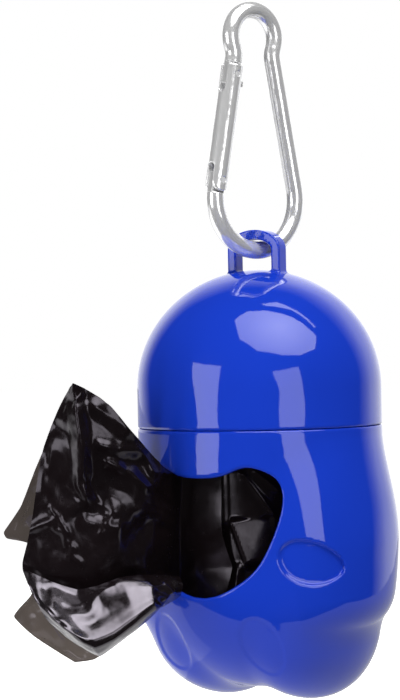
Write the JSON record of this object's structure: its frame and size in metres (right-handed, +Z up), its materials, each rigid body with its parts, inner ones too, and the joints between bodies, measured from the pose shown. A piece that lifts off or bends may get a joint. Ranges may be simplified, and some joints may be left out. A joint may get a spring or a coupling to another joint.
{
  "type": "dog waste bag dispenser",
  "caption": "Paw-shaped plastic case with a domed cap, a pad-shaped feed opening, a moulded eye and a spring-gate carabiner, holding a roll of bags that feeds out of the front.",
  "frame": {"origin": "inner face of the carabiner's top bow at its highest point, where the lead bears", "axes": "+Z up along the hanging case, the feed opening faces -Y, +X to the right seen from the front"},
  "size_m": [0.0564, 0.0691, 0.1341],
  "materials": {
    "polished_aluminium": "polished",
    "pin_steel": "plain",
    "blue_plastic": "high gloss moulded",
    "black_film": "thin glossy film",
    "brown_card": "matt, stands in for cardboard"
  },
  "bodies": {
    "carabiner": {"carabiner_frame": "polished_aluminium"},
    "gate": {"carabiner_gate": "polished_aluminium", "gate_hinge_rivet": "pin_steel", "gate_latch_pin": "pin_steel", "gate_spring": "pin_steel"},
    "cap": {"cap": "blue_plastic"},
    "shell": {"paw_shell": "blue_plastic"},
    "roll": {"bag_roll": "black_film", "roll_core": "brown_card"},
    "bag": {"bag_tail": "black_film"}
  },
  "joints": [
    {"name": "gate_swing", "type": "hinge", "parent": "carabiner", "child": "gate", "pos_m": [-0.00322, -0.00886, -0.03132], "axis": [-0.9397, 0.342, 0], "range_deg": [0, 17.5], "stiffness_Nm_per_rad": 0.17, "springref_deg": -11.46, "deforming": ["gate_spring"]},
    {"name": "dispenser_swing", "type": "hinge", "parent": "carabiner", "child": "cap", "pos_m": [0, 0, -0.0446], "axis": [0.342, 0.9397, 0], "range_deg": [-85, 85]},
    {"name": "shell_pull", "type": "slide", "parent": "cap", "child": "shell", "axis": [0, 0, -1], "range_m": [0, 0.062]},
    {"name": "roll_spin", "type": "hinge", "parent": "shell", "child": "roll", "pos_m": [0, 0, -0.0935], "axis": [0, 0, 1], "range_deg": [0, 100]},
    {"name": "bag_pull", "type": "slide", "parent": "shell", "child": "bag", "axis": [0, -1, 0], "range_m": [0, 0.025]}
  ],
  "couplings": [
    {"joint": "roll_spin", "follows": "bag_pull", "rad_per_m": 66.667}
  ]
}
